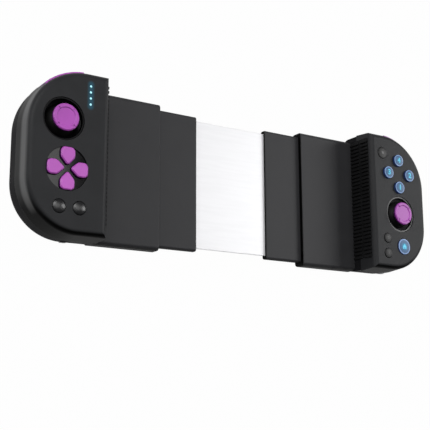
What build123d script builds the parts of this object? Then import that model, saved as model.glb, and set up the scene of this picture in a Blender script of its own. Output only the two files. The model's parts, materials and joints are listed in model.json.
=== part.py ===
from build123d import *
import math
import os

# A telescopic mobile game controller, lying on its back with its keys up.
# Millimetres. X runs along the controller, +Y towards the shoulder keys, +Z out of the face with the keys.
# Every piece is modelled for the right grip and mirrored where the left grip has it too.

# How far every cut runs past the surface that it opens
overrun = 1.0

# Centre plate and the two pairs of nested sleeves that draw out of each grip
plate_height = 70.0
plate_thickness = 1.2
slide_gap = 0.2
inner_side_wall = 1.7
inner_skin = 1.3
inner_corner = 1.2
outer_side_wall = 1.9
outer_front_skin = 2.4
outer_back_skin = 1.3
outer_corner = 2.0
outer_end_wall = 2.0
mouth_round = 0.5
bay_length = 169.0
outer_sleeve_show = 38.0
inner_sleeve_show = 23.8
mouth_lip = 3.0
stop_gap = 0.1
ear_length = 4.0
ear_reach = 0.6

# Tongue of the outer sleeve inside its grip, and the screws that hold it
tongue_height = 58.0
tongue_length = 11.5
tongue_thickness = 2.0
tongue_gap = 0.1
tray_screw_radius = 0.9
tray_screw_bite = 1.4
tray_screw_head_radius = 1.8
tray_screw_head_height = 1.0
tray_screw_shares = [-0.38, 0.0, 0.38]

# Grip housings
grip_width = 41.1
grip_height = 79.5
grip_depth = 26.0
grip_low_reach = 38.8
cover_wall = 2.0
face_thickness = 2.0
front_cover_share = 0.48
side_swell = 1.0
rear_step = -0.5
top_corner_share = 0.73
low_corner_share = 0.64
face_round = 2.8
back_round = 6.5
notch_length = 5.0
notch_depth = 2.4
notch_half = 2.6
notch_rise = 0.8

# Cover screws, the rear bosses that they pass through and the front posts that they bite into
cover_screw_shares = [(0.114, 0.935), (0.107, 0.053), (0.878, 0.526), (0.786, 0.180)]
screw_radius = 1.0
screw_bite = 6.0
screw_head_radius = 1.9
screw_head_height = 1.2
screw_gap = 0.03
boss_radius = 3.0
boss_shoulder = 0.9
boss_recess_gap = 0.2
boss_seat_thickness = 3.0
post_radius = 2.4
post_shoulder = 0.7

# Boards
board_thickness = 1.0
board_gap = 0.6
board_hole_gap = 0.15
main_board_share = 0.346
main_board_top_gap = 13.2
key_board_drop_share = 0.315
key_board_top_gap = 9.2
dome_radius = 1.6
dome_height = 1.2
battery_width = 17.5
battery_length = 42.0
battery_thickness_share = 0.23
battery_gap = 1.5
battery_place_share = 0.505

# Rubber clamp pad on the wall that the phone leans against
pad_base = 0.8
pad_rib_height = 0.8
pad_gap = 0.1
pad_rib_pitch = 2.2
pad_rib_share = 0.55
pad_high_end_gap = 2.6
pad_low_end_gap = 6.0
pad_low_margin = 0.4
pad_high_margin = 2.8
pad_groove = 1.7
pad_strip_share = 0.54

# Keys in general: a head in a hole of the cover, a flange under it and a plunger over a dome
key_gap = 0.25
key_flange = 0.8
key_flange_thickness = 0.8
key_seat_gap = 0.3
plunger_radius = 1.5
key_travel_room = 1.0

# Places of the controls: shares of the grip's width from its inner wall and of its height from its low edge
left_stick_share = (0.577, 0.686)
dpad_share = (0.518, 0.385)
left_outer_button_share = (0.603, 0.156)
left_inner_button_share = (0.355, 0.156)
light_share = (0.251, 0.917)
right_stick_share = (0.511, 0.411)
face_buttons_share = (0.499, 0.714)
home_button_share = (0.547, 0.169)
capture_button_share = (0.209, 0.859)
right_upper_button_share = (0.246, 0.220)
right_lower_button_share = (0.248, 0.109)

# Round keys
left_button_radius = 3.2
left_button_rise = 0.9
left_button_dome = 0.8
face_button_radius = 3.45
face_button_rise = 1.5
face_button_pitch = 8.2
home_button_radius = 4.5
home_button_rise = 0.8
capture_button_radius = 3.3
capture_button_rise = 0.5
small_button_radius = 2.7
small_button_rise = 0.5
flat_dome = 0.25

# Direction keys and the dish that they stand in
dish_radius = 10.6
dish_drop = 0.6
dish_flange = 0.9
dish_flange_thickness = 1.2
petal_reach = 10.3
petal_start = 1.3
petal_width = 7.2
petal_shoulder_share = 0.45
petal_tip_round = 1.2
petal_shoulder_round = 3.0
petal_corner_round = 2.3
petal_rise = 1.0
petal_chamfer = 0.5
petal_tab_start = 5.6
petal_tab_width = 8.4
petal_plunger_share = 0.60

# Lights beside the left stick
light_count = 4
light_pitch = 3.05
light_radius = 0.55
light_bar_width = 2.0
light_bar_thickness = 1.0

# Thumb sticks, worked out from the crossing point of their two pivots
well_radius = 10.6
well_gap = 0.1
pivot_drop_share = 0.27
ring_rim_drop = 0.4
ring_rim = 0.8
ring_floor_drop = 2.6
ring_slope = 1.0
ring_thickness = 0.8
ring_flange = 0.8
ring_flange_thickness = 1.2
skirt_radius = 8.3
skirt_thickness = 0.8
skirt_gap = 0.3
skirt_low = 1.0
neck_radius = 4.2
cap_radius = 6.6
cap_bottom = 7.4
cap_thickness = 2.6
cap_rim = 1.7
cap_edge = 0.5
cap_under_edge = 1.0
cap_dish = 0.4
cap_notch_width = 1.0
cap_notch_depth = 0.3
cap_notch_count = 4
stem_width = 2.0
stem_reach_share = 0.177
stem_gap = 0.05
pivot_block_half = 2.2
pivot_block_half_height = 1.8
pivot_pin_radius = 0.8
pivot_pin_gap = 0.05
pivot_pin_reach = 4.2
yoke_half_x = 4.4
yoke_half_y = 4.9
yoke_window_half = 3.3
yoke_half_height = 1.3
yoke_pin_reach = 6.5
stick_post_inner = 5.1
stick_post_outer = 6.7
stick_post_half_width = 1.7
stick_post_rise = 1.4
stick_base_half = 7.2
stick_base_drop_share = 0.10
stick_base_floor = 1.0
stick_base_well = 5.0
stick_switch_radius = 1.8
stick_switch_share = 0.09

# Bumper, on a pin near its inner end
bumper_inner_share = 0.315
bumper_outer_share = 0.79
bumper_proud = 0.9
bumper_inset = 3.2
bumper_top_drop = 2.4
bumper_height_share = 0.353
bumper_gap = 0.3
bumper_room = 1.9
bumper_arm_depth = 3.6
bumper_arm_reach = 4.0
bumper_arm_top_drop = 3.6
bumper_pin_radius = 0.9
shoulder_pin_gap = 0.05
shoulder_edge = 0.6

# Trigger, on a pin along X
trigger_inner_share = 0.27
trigger_outer_share = 0.62
trigger_proud = 2.4
trigger_inset = 3.0
trigger_low_share = 0.177
trigger_high_share = 0.497
trigger_gap = 0.3
trigger_low_room = 2.0
trigger_room = 1.5
trigger_edge = 1.8
trigger_pin_y_drop = 9.7
trigger_pin_share = 0.423
trigger_pin_radius = 1.0
trigger_pin_length = 12.0
trigger_arm_thickness = 2.0
trigger_arm_half = 1.8
trigger_lug_thickness = 1.8
trigger_lug_half = 1.7
trigger_side_gap = 0.3

# Charging port on the lower edge of the right grip
port_share = 0.455
port_width = 8.94
port_height = 3.26
port_depth = 7.3
port_wall = 0.3
port_tongue_width = 6.7
port_tongue_thickness = 0.7
port_tongue_setback = 1.0
port_back = 1.0
port_hole_gap = 0.15
port_setback = 0.3

# Slide switch on the lower edge of the left grip
switch_share = 0.315
switch_drop = 2.2
switch_slot_length = 6.4
switch_slot_height = 2.6
switch_nub_length = 3.0
switch_nub_height = 1.9
switch_proud = 0.4
switch_flange_length = 6.0
switch_flange_height = 2.8
switch_flange_thickness = 0.6
switch_flange_gap = 0.2

# Derived places of the tray
bay_half = bay_length / 2
outer_mouth = bay_half - outer_sleeve_show
inner_mouth = outer_mouth - inner_sleeve_show
stop_start = mouth_lip + stop_gap
plate_half = inner_mouth + stop_start + ear_length
inner_end = outer_mouth + stop_start + ear_length
inner_height = plate_height + 2 * (slide_gap + inner_side_wall)
outer_height = inner_height + 2 * (slide_gap + outer_side_wall)
inner_back = outer_back_skin + slide_gap
plate_back = inner_back + inner_skin + slide_gap
plate_front = plate_back + plate_thickness
inner_front = plate_front + slide_gap + inner_skin
outer_front = inner_front + slide_gap + outer_front_skin

# Derived sizes and places of the grips
front_cover_depth = front_cover_share * grip_depth
top_corner = top_corner_share * grip_width
low_corner = low_corner_share * grip_width
main_board_height = main_board_share * grip_depth
battery_thickness = battery_thickness_share * grip_depth
pivot_drop = pivot_drop_share * grip_depth
stem_reach = stem_reach_share * grip_depth
stick_base_drop = stick_base_drop_share * grip_depth
stick_switch_height = stick_switch_share * grip_depth
bumper_height = bumper_height_share * grip_depth
trigger_low = trigger_low_share * grip_depth
trigger_high = trigger_high_share * grip_depth
trigger_pin_z = trigger_pin_share * grip_depth
grip_low = -grip_low_reach
grip_top = grip_low + grip_height
grip_outer = bay_half + grip_width
parting = grip_depth - front_cover_depth
under_face = grip_depth - face_thickness
rear_inset = rear_step + cover_wall
key_board_top = grip_depth - key_board_drop_share * grip_depth
main_board_top = main_board_height + board_thickness
flange_top = under_face - key_seat_gap
flange_low = flange_top - key_flange_thickness
plunger_low = key_board_top + dome_height + key_travel_room
pivot_height = grip_depth - pivot_drop

# The origin is under the middle of the outline, between the triggers' tips and the low edge
origin_shift = (grip_low_reach + side_swell - grip_top - trigger_proud) / 2


def block(x_low, x_high, y_low, y_high, z_low, z_high):
    """A box between two corners."""
    middle = Pos((x_low + x_high) / 2, (y_low + y_high) / 2, (z_low + z_high) / 2)
    return middle * Box(x_high - x_low, y_high - y_low, z_high - z_low)


def disc(place, z_low, z_high, radius):
    """An upright cylinder at a place of the grip."""
    middle = Pos(place[0], place[1], (z_low + z_high) / 2)
    return middle * Cylinder(radius, z_high - z_low)


def rod_x(x_low, x_high, y, z, radius):
    """A round pin along X."""
    return Pos((x_low + x_high) / 2, y, z) * Rot(0, 90, 0) * Cylinder(radius, x_high - x_low)


def rod_y(x, y_low, y_high, z, radius):
    """A round pin along Y."""
    return Pos(x, (y_low + y_high) / 2, z) * Rot(90, 0, 0) * Cylinder(radius, y_high - y_low)


def turned(place, outline):
    """A solid of revolution about an upright axis, from a closed outline of radius and height."""
    face = make_face(Plane.XZ * outline)
    return Pos(place[0], place[1], 0) * revolve(face, Axis.Z)


def grip_place(share):
    """A place on the right grip, from shares of its width and its height."""
    return (bay_half + share[0] * grip_width, grip_low + share[1] * grip_height)


def grip_outline(inset, left):
    """The D of a grip seen from the face, drawn in from its outer wall by the inset."""
    right = grip_outer - inset
    low = grip_low + inset
    high = grip_top - inset
    outline = Pos((left + right) / 2, (low + high) / 2) * Rectangle(right - left, high - low)
    outline = fillet(outline.vertices().sort_by(lambda corner: corner.X + corner.Y)[-1], top_corner - inset)
    return fillet(outline.vertices().sort_by(lambda corner: corner.X - corner.Y)[-1], low_corner - inset)


def grip_slab(inset, z_low, z_high):
    """The D of a grip between two heights."""
    return extrude(Pos(0, 0, z_low) * grip_outline(inset, bay_half + max(inset, 0)), z_high - z_low)


def front_blank():
    """The outside of the front cover: its walls lean out from the face to the parting line."""
    base = Pos(0, 0, parting) * grip_outline(-side_swell, bay_half - 2 * side_swell)
    lean = math.degrees(math.atan2(side_swell, front_cover_depth))
    low = grip_low - 2 * side_swell
    high = grip_top + 2 * side_swell
    inside = block(bay_half, grip_outer + 2 * side_swell, low, high, parting, grip_depth)
    slab = extrude(base, front_cover_depth, taper=lean) & inside
    return fillet(slab.edges().group_by(Axis.Z)[-1], face_round)


def round_back(solid, radius, inset):
    """Round the lower rim of a grip slab, except along the wall that faces the phone."""
    rim = solid.edges().group_by(Axis.Z)[0]
    rim = rim.filter_by(lambda edge: edge.center().X > bay_half + inset + radius / 2)
    return fillet(rim, radius)


def rim_band(outer_inset, inner_inset, x_low, x_high, z_low, z_high):
    """A stretch of the grip's upper rim, between two insets of its outline."""
    band = grip_slab(outer_inset, z_low, z_high) - grip_slab(inner_inset, z_low - overrun, z_high + overrun)
    window = block(x_low, x_high, 0, grip_top + trigger_proud + overrun, z_low - overrun, z_high + overrun)
    return band & window


# Tray


def make_centre_plate():
    """The metal plate in the middle, with stop ears at both ends."""
    plate = block(-plate_half, plate_half, -plate_height / 2, plate_height / 2, plate_back, plate_front)
    ear_half = plate_height / 2 + ear_reach
    for side in (-1, 1):
        inner = side * (plate_half - ear_length)
        outer = side * plate_half
        plate += block(min(inner, outer), max(inner, outer), -ear_half, ear_half, plate_back, plate_front)
    return plate


def sleeve_body(mouth, end, height, back, front, corner):
    """The outside of a flat sleeve, with rounded long edges and a softened mouth."""
    body = block(mouth, end, -height / 2, height / 2, back, front)
    body = fillet(body.edges().filter_by(Axis.X), corner)
    mouth_edges = body.edges().group_by(Axis.X)[0]
    return fillet(mouth_edges, mouth_round)


def sleeve_cavity(mouth, end, height, back, front):
    """The room in a sleeve: a narrow mouth, and behind it the wider track of the stop ears."""
    lip = block(mouth - overrun, end, -height / 2, height / 2, back, front)
    track_half = height / 2 + ear_reach
    return lip + block(mouth + mouth_lip, end, -track_half, track_half, back, front)


def make_inner_sleeve():
    """The sleeve that takes the centre plate, with stop ears of its own at its far end."""
    sleeve = sleeve_body(inner_mouth, inner_end, inner_height, inner_back, inner_front, inner_corner)
    ear_half = inner_height / 2 + ear_reach
    ear_back = inner_back + inner_corner
    ear_front = inner_front - inner_corner
    sleeve += block(inner_end - ear_length, inner_end, -ear_half, ear_half, ear_back, ear_front)
    room_height = plate_height + 2 * slide_gap
    room_back = plate_back - slide_gap
    room_front = plate_front + slide_gap
    return sleeve - sleeve_cavity(inner_mouth, inner_end + overrun, room_height, room_back, room_front)


def tray_screw_places():
    """Where the tongue's screws stand."""
    x = bay_half + (cover_wall + tongue_length) / 2
    return [(x, share * tongue_height) for share in tray_screw_shares]


def make_outer_sleeve():
    """The sleeve fixed to the grip, closed at its far end and screwed on by a tongue."""
    sleeve = sleeve_body(outer_mouth, bay_half, outer_height, 0, outer_front, outer_corner)
    room_height = inner_height + 2 * slide_gap
    room_end = bay_half - outer_end_wall
    sleeve -= sleeve_cavity(outer_mouth, room_end, room_height, outer_back_skin, inner_front + slide_gap)
    tongue_half = tongue_height / 2
    tongue_top = cover_wall + tongue_thickness
    sleeve += block(room_end, bay_half + tongue_length, -tongue_half, tongue_half, cover_wall, tongue_top)
    for place in tray_screw_places():
        sleeve -= disc(place, 0, tongue_top + overrun, tray_screw_radius + screw_gap)
    return sleeve


def make_tray_screws():
    """The screws through the tongue into the rear cover's floor."""
    tongue_top = cover_wall + tongue_thickness
    screws = Part()
    for place in tray_screw_places():
        screws += disc(place, cover_wall - tray_screw_bite, tongue_top, tray_screw_radius)
        screws += disc(place, tongue_top, tongue_top + tray_screw_head_height, tray_screw_head_radius)
    return screws


# Covers


def cover_screw_places():
    """Where the four screws between the covers stand."""
    return [grip_place(share) for share in cover_screw_shares]


def bumper_window():
    """The window in the front cover that the bumper stands in."""
    x_low = bay_half + bumper_inner_share * grip_width - bumper_gap
    x_high = bay_half + bumper_outer_share * grip_width + bumper_gap
    top = grip_depth - bumper_top_drop + bumper_gap
    return rim_band(-side_swell - overrun, bumper_inset + overrun, x_low, x_high, parting - overrun, top)


def trigger_window():
    """The window in the rear cover that the trigger swings in."""
    x_low = bay_half + trigger_inner_share * grip_width - trigger_gap
    x_high = bay_half + trigger_outer_share * grip_width + trigger_gap
    low = trigger_low - trigger_low_room
    return rim_band(-side_swell - overrun, trigger_inset + overrun, x_low, x_high, low, parting + overrun)


def corner_notch():
    """The V notch across both covers at the inner top corner."""
    edge = grip_top + side_swell
    bottom = grip_top - notch_depth
    middle = parting + notch_rise
    half = notch_half * (edge - bottom) / notch_depth
    corners = [(bottom, middle), (edge, middle + half), (edge, middle - half)]
    wedge = make_face(Plane.YZ * Polyline(corners, close=True))
    return Pos(bay_half - overrun, 0, 0) * extrude(wedge, notch_length + overrun)


def make_front_cover(openings):
    """The front shell with its posts, less the openings of the controls."""
    shell = front_blank() - grip_slab(cover_wall, parting - overrun, under_face)
    for place in cover_screw_places():
        shell += disc(place, parting, under_face, post_radius)
        shell += disc(place, key_board_top, under_face, post_radius + post_shoulder)
        shell -= disc(place, parting - overrun, parting + screw_bite, screw_radius + screw_gap)
    shell -= bumper_window() + corner_notch() + pad_room(pad_gap)
    for opening in openings:
        shell -= opening
    return shell


def trigger_middle():
    """The middle of the trigger's pin across the grip."""
    return bay_half + (trigger_inner_share + trigger_outer_share) / 2 * grip_width


def trigger_arm_face():
    """The inner face of a trigger arm, counted from the middle of the pin."""
    return trigger_pin_length / 2 - trigger_arm_thickness


def trigger_pin_y():
    """The trigger pin's distance from the tray's centre line."""
    return grip_top - trigger_pin_y_drop


def make_rear_cover(openings):
    """The rear shell with its bosses, the slot for the tongue and the trigger's lugs."""
    outside = round_back(grip_slab(rear_step, 0, parting), back_round, rear_step)
    room = grip_slab(rear_inset, cover_wall, parting + overrun)
    shell = outside - round_back(room, back_round - cover_wall, rear_inset)
    for place in cover_screw_places():
        boss = disc(place, cover_wall / 2, parting, boss_radius)
        boss += disc(place, cover_wall / 2, main_board_height, boss_radius + boss_shoulder)
        shell += boss & outside
    for place in cover_screw_places():
        shell -= disc(place, -overrun, parting - boss_seat_thickness, screw_head_radius + boss_recess_gap)
        shell -= disc(place, 0, parting + overrun, screw_radius + screw_gap)
    middle = trigger_middle()
    arm_face = trigger_arm_face()
    lug_outer = arm_face - trigger_side_gap
    lug_inner = lug_outer - trigger_lug_thickness
    pin_y = trigger_pin_y()
    for side in (-1, 1):
        low = min(side * lug_inner, side * lug_outer)
        high = max(side * lug_inner, side * lug_outer)
        lug_top = trigger_pin_z + trigger_lug_half
        shell += block(
            middle + low, middle + high, pin_y - trigger_lug_half, pin_y + trigger_lug_half, cover_wall / 2, lug_top
        )
    shell -= rod_x(middle - arm_face, middle + arm_face, pin_y, trigger_pin_z, trigger_pin_radius + screw_gap)
    shell -= trigger_window() + corner_notch() + pad_room(pad_gap)
    tongue_half = tongue_height / 2 + tongue_gap
    slot_top = cover_wall + tongue_thickness + tongue_gap
    shell -= block(bay_half - overrun, bay_half + rear_inset, -tongue_half, tongue_half, cover_wall, slot_top)
    for place in tray_screw_places():
        shell -= disc(place, cover_wall - tray_screw_bite, cover_wall + overrun, tray_screw_radius + screw_gap)
    for opening in openings:
        shell -= opening
    return shell


def make_cover_screws():
    """The four screws of a grip, their heads deep in the rear bosses."""
    seat = parting - boss_seat_thickness
    screws = Part()
    for place in cover_screw_places():
        screws += disc(place, seat, parting + screw_bite - overrun, screw_radius)
        screws += disc(place, seat - screw_head_height, seat, screw_head_radius)
    return screws


def pad_room(gap):
    """The bed of the clamp pad in the phone's wall, grown by a gap round its rim."""
    low = outer_front + pad_low_margin - gap
    high = grip_depth - pad_high_margin + gap
    y_low = grip_low + pad_low_end_gap - gap
    y_high = grip_top - pad_high_end_gap + gap
    return block(bay_half - gap, bay_half + pad_base, y_low, y_high, low, high)


def make_clamp_pad():
    """The rubber pad bedded in the phone's wall: two strips of cross ribs with a plain groove between."""
    low = outer_front + pad_low_margin
    high = grip_depth - pad_high_margin
    y_low = grip_low + pad_low_end_gap
    y_high = grip_top - pad_high_end_gap
    pad = pad_room(0)
    strip_room = high - low - pad_groove
    lower_top = low + pad_strip_share * strip_room
    count = int((y_high - y_low) / pad_rib_pitch)
    margin = (y_high - y_low - count * pad_rib_pitch) / 2
    crest = bay_half - pad_rib_height
    root = bay_half + pad_base / 2
    points = []
    for index in range(count):
        start = y_low + margin + index * pad_rib_pitch
        end = start + pad_rib_share * pad_rib_pitch
        points += [(root, start), (crest, start), (crest, end), (root, end)]
    comb = make_face(Polyline(points, close=True))
    pad += extrude(Pos(0, 0, low) * comb, lower_top - low)
    pad += extrude(Pos(0, 0, lower_top + pad_groove) * comb, high - lower_top - pad_groove)
    return pad


# Boards and battery


def shoulder_room(inner_share, outer_share, depth, z_low, z_high):
    """The room along the rim that a shoulder key sweeps."""
    x_low = bay_half + inner_share * grip_width
    x_high = bay_half + outer_share * grip_width + board_gap
    return rim_band(0, depth, x_low, x_high, z_low, z_high)


def make_main_board():
    """The lower board, seated on the shoulders of the rear bosses."""
    board = grip_slab(rear_inset + board_gap, main_board_height, main_board_top)
    limit = grip_top - main_board_top_gap
    low = main_board_height - overrun
    high = main_board_top + overrun
    board -= block(bay_half, grip_outer, limit, grip_top, low, high)
    board -= shoulder_room(trigger_inner_share, trigger_outer_share, trigger_inset + trigger_room, low, high)
    for place in cover_screw_places():
        board -= disc(place, low, high, boss_radius + board_hole_gap)
    return board


def make_key_board(stick_place, dome_places):
    """The upper board under the keys, with a dome for each and a hole round the stick."""
    low = key_board_top - board_thickness
    board = grip_slab(cover_wall + board_gap, low, key_board_top)
    limit = grip_top - key_board_top_gap
    board -= block(bay_half, grip_outer, limit, grip_top, low - overrun, key_board_top + overrun)
    board -= disc(stick_place, low - overrun, key_board_top + overrun, skirt_radius + 2 * board_gap)
    bumper_depth = bumper_inset + bumper_room
    top = key_board_top + overrun
    board -= shoulder_room(bumper_inner_share, bumper_outer_share, bumper_depth, low - overrun, top)
    for place in cover_screw_places():
        board -= disc(place, low - overrun, key_board_top + overrun, post_radius + board_hole_gap)
    for place in dome_places:
        board += disc(place, key_board_top, key_board_top + dome_height, dome_radius)
    return board


def make_battery():
    """The flat cell on the floor of the left grip."""
    x_low = bay_half + tongue_length + battery_gap
    y_middle = grip_low + battery_place_share * grip_height
    y_low = y_middle - battery_length / 2
    x_high = x_low + battery_width
    return block(x_low, x_high, y_low, y_low + battery_length, cover_wall, cover_wall + battery_thickness)


# Keys


def key_hole(place, radius):
    """The hole in the cover for a round key."""
    return disc(place, under_face - overrun, grip_depth + overrun, radius + key_gap)


def make_round_key(place, radius, rise, dome):
    """A round key: plunger, flange and a head with a slightly domed top."""
    top = grip_depth + rise
    edge = top - dome
    bend = (radius * radius + dome * dome) / (2 * dome)
    half = radius / 2
    half_height = top - (bend - math.sqrt(bend * bend - half * half))
    side = Polyline(
        (0, top),
        (0, plunger_low),
        (plunger_radius, plunger_low),
        (plunger_radius, flange_low),
        (radius + key_flange, flange_low),
        (radius + key_flange, flange_top),
        (radius, flange_top),
        (radius, edge),
    )
    return turned(place, side + ThreePointArc((radius, edge), (half, half_height), (0, top)))


def petal_outline(grow):
    """One direction key seen from the face, its point towards the centre, grown by a gap."""
    start = petal_start - grow
    reach = petal_reach + grow
    half = petal_width / 2 + grow
    shoulder = petal_start + petal_shoulder_share * (petal_reach - petal_start)
    outline = make_face(
        Polyline((start, 0), (shoulder, half), (reach, half), (reach, -half), (shoulder, -half), close=True)
    )
    outline = fillet(outline.vertices().sort_by(Axis.X)[0], petal_tip_round)
    corners = outline.vertices().filter_by(lambda corner: abs(abs(corner.Y) - half) < overrun / 100)
    shoulders = corners.filter_by(lambda corner: corner.X < (shoulder + reach) / 2)
    outline = fillet(shoulders, petal_shoulder_round)
    corners = outline.vertices().filter_by(lambda corner: abs(corner.X - reach) < overrun / 100)
    return fillet(corners, petal_corner_round)


def at_petal(angle):
    """The frame of one direction key."""
    place = grip_place(dpad_share)
    return Pos(place[0], place[1], 0) * Rot(0, 0, angle)


def make_direction_key(angle):
    """One of the four direction keys, with the tab that keeps it under the dish."""
    top = grip_depth + petal_rise
    tab_top = under_face - dish_flange_thickness - key_seat_gap
    tab_low = tab_top - key_flange_thickness
    key = extrude(Pos(0, 0, tab_low) * petal_outline(0), top - tab_low)
    key = chamfer(key.edges().group_by(Axis.Z)[-1], petal_chamfer)
    key += block(petal_tab_start, petal_reach, -petal_tab_width / 2, petal_tab_width / 2, tab_low, tab_top)
    key += disc((petal_plunger_share * petal_reach, 0), plunger_low, tab_top, plunger_radius)
    return at_petal(angle) * key


def make_dish():
    """The round dish with four windows for the direction keys."""
    place = grip_place(dpad_share)
    low = under_face - dish_flange_thickness
    dish = disc(place, low, grip_depth - dish_drop, dish_radius - well_gap)
    dish += disc(place, low, under_face, dish_radius + dish_flange)
    for angle in (0, 90, 180, 270):
        window = extrude(Pos(0, 0, low - overrun) * petal_outline(key_gap), grip_depth - low + overrun)
        dish -= at_petal(angle) * window
    return dish


def light_places():
    """The row of lights, from the top down."""
    first = grip_place(light_share)
    return [(first[0], first[1] - index * light_pitch) for index in range(light_count)]


def make_light_pipes():
    """Four clear pipes on one bar under the front cover."""
    places = light_places()
    margin = light_bar_width / 2
    pipes = block(
        places[0][0] - margin,
        places[0][0] + margin,
        places[-1][1] - margin,
        places[0][1] + margin,
        under_face - light_bar_thickness,
        under_face,
    )
    for place in places:
        pipes += disc(place, under_face - light_bar_thickness, grip_depth, light_radius)
    return pipes


def light_hole(place):
    """The hole in the cover for one light pipe."""
    return disc(place, under_face - overrun, grip_depth + overrun, light_radius + screw_gap)


# Thumb stick


def make_stick_ring(place):
    """The sloping ring between the cover and the stick's skirt."""
    outer = well_radius - well_gap
    flange = outer + ring_flange
    rim_top = grip_depth - ring_rim_drop
    floor = grip_depth - ring_floor_drop
    lip = floor - ring_slope
    sphere = skirt_radius + skirt_gap
    lip_radius = math.sqrt(sphere ** 2 - (lip - pivot_height) ** 2)
    lip_low = lip - ring_thickness
    lip_low_radius = math.sqrt(sphere ** 2 - (lip_low - pivot_height) ** 2)
    flange_under = under_face - ring_flange_thickness
    outline = Polyline(
        (outer, rim_top),
        (outer - ring_rim, rim_top),
        (outer - ring_rim, floor),
        (lip_radius, lip),
        (lip_low_radius, lip_low),
        (outer - ring_rim, flange_under - ring_thickness),
        (flange, flange_under),
        (flange, under_face),
        (outer, under_face),
        close=True,
    )
    return turned(place, outline)


def make_stick_cap(place):
    """The dished cap that the thumb rests on, and its neck."""
    low = pivot_height + cap_bottom
    top = low + cap_thickness
    neck_low = pivot_height + math.sqrt(skirt_radius ** 2 - neck_radius ** 2)
    outline = Polyline(
        (0, neck_low),
        (neck_radius, neck_low),
        (neck_radius, low),
        (cap_radius - cap_under_edge, low),
        (cap_radius, low + cap_under_edge),
        (cap_radius, top - cap_edge),
        (cap_radius - cap_edge, top),
        (cap_radius - cap_rim, top),
        (cap_radius - cap_rim - cap_dish, top - cap_dish),
        (0, top - cap_dish),
        close=True,
    )
    cap = turned(place, outline)
    half = cap_notch_width / 2
    for index in range(cap_notch_count):
        turn = Rot(0, 0, (index + 1 / 2) * 360 / cap_notch_count)
        outer = cap_radius + overrun
        notch = block(cap_radius - cap_rim, outer, -half, half, top - cap_notch_depth, top + overrun)
        cap -= Pos(place[0], place[1], 0) * turn * notch
    return cap


def make_stick_stem(place):
    """The round skirt under the cap and the square stem through the pivot block."""
    top = math.sqrt(skirt_radius ** 2 - neck_radius ** 2)
    inner = skirt_radius - skirt_thickness
    ceiling = math.sqrt(inner ** 2 - neck_radius ** 2)
    low_outer = math.sqrt(skirt_radius ** 2 - skirt_low ** 2)
    low_inner = math.sqrt(inner ** 2 - skirt_low ** 2)
    half_turn = math.pi / 4
    outline = (
        Polyline((neck_radius, ceiling), (0, ceiling), (0, top), (neck_radius, top))
        + ThreePointArc(
            (neck_radius, top),
            (skirt_radius * math.cos(half_turn), skirt_radius * math.sin(half_turn)),
            (low_outer, skirt_low),
        )
        + Line((low_outer, skirt_low), (low_inner, skirt_low))
        + ThreePointArc(
            (low_inner, skirt_low),
            (inner * math.cos(half_turn), inner * math.sin(half_turn)),
            (neck_radius, ceiling),
        )
    )
    stem_half = stem_width / 2
    stem = block(-stem_half, stem_half, -stem_half, stem_half, -stem_reach, (ceiling + top) / 2)
    return Pos(place[0], place[1], pivot_height) * (turned((0, 0), outline) + stem)


def make_pivot_block(place):
    """The block that the stem slides in, on pins along X."""
    half = pivot_block_half
    height = pivot_block_half_height
    bore = stem_width / 2 + stem_gap
    part = block(-half, half, -half, half, -height, height)
    part += rod_x(-pivot_pin_reach, pivot_pin_reach, 0, 0, pivot_pin_radius)
    part -= block(-bore, bore, -bore, bore, -height - overrun, height + overrun)
    return Pos(place[0], place[1], pivot_height) * part


def make_stick_yoke(place):
    """The frame round the pivot block, on pins along Y."""
    window = yoke_window_half
    height = yoke_half_height
    part = block(-yoke_half_x, yoke_half_x, -yoke_half_y, yoke_half_y, -height, height)
    part += rod_y(0, -yoke_pin_reach, yoke_pin_reach, 0, pivot_pin_radius)
    part -= block(-window, window, -window, window, -height - overrun, height + overrun)
    part -= rod_x(-yoke_half_x - overrun, yoke_half_x + overrun, 0, 0, pivot_pin_radius + pivot_pin_gap)
    return Pos(place[0], place[1], pivot_height) * part


def make_stick_frame(place):
    """The stick's base on the main board: two posts for the yoke, and the switch under the stem."""
    half = stick_base_half
    base_top = -stick_base_drop
    base_low = main_board_top - pivot_height
    part = block(-half, half, -half, half, base_low, base_top)
    for side in (-1, 1):
        low = min(side * stick_post_inner, side * stick_post_outer)
        high = max(side * stick_post_inner, side * stick_post_outer)
        width = stick_post_half_width
        part += block(-width, width, low, high, base_top - overrun, stick_post_rise)
    part -= disc((0, 0), base_low + stick_base_floor, base_top + overrun, stick_base_well)
    part += disc((0, 0), base_low, base_low + stick_base_floor + stick_switch_height, stick_switch_radius)
    reach = stick_post_outer + overrun
    part -= rod_y(0, -reach, reach, 0, pivot_pin_radius + pivot_pin_gap)
    return Pos(place[0], place[1], pivot_height) * part


def well_hole(place):
    """The hole in the cover for a stick."""
    return disc(place, under_face - overrun, grip_depth + overrun, well_radius)


# Shoulder keys


def bumper_pin_place():
    """The bumper's pin, just inside the rim at the bumper's inner end."""
    x = bay_half + bumper_inner_share * grip_width - bumper_arm_reach / 2
    return (x, grip_top - cover_wall - bumper_gap - bumper_arm_depth / 2)


def make_bumper():
    """The bumper: a stretch of the rim, with an arm to its pin."""
    x_low = bay_half + bumper_inner_share * grip_width
    x_high = bay_half + bumper_outer_share * grip_width
    top = grip_depth - bumper_top_drop
    bumper = rim_band(-bumper_proud, bumper_inset, x_low, x_high, top - bumper_height, top)
    outer_edges = bumper.edges().group_by(Axis.Z)[-1].sort_by_distance((x_high, grip_top * 2, top))[0:2]
    bumper = fillet(outer_edges, shoulder_edge)
    pin = bumper_pin_place()
    half = bumper_arm_depth / 2
    arm_top = grip_depth - bumper_arm_top_drop
    arm_end = x_low + bumper_arm_reach / 2
    bumper += block(pin[0] - half, arm_end, pin[1] - half, pin[1] + half, top - bumper_height, arm_top)
    return bumper - disc(pin, 0, grip_depth, bumper_pin_radius + shoulder_pin_gap)


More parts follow.
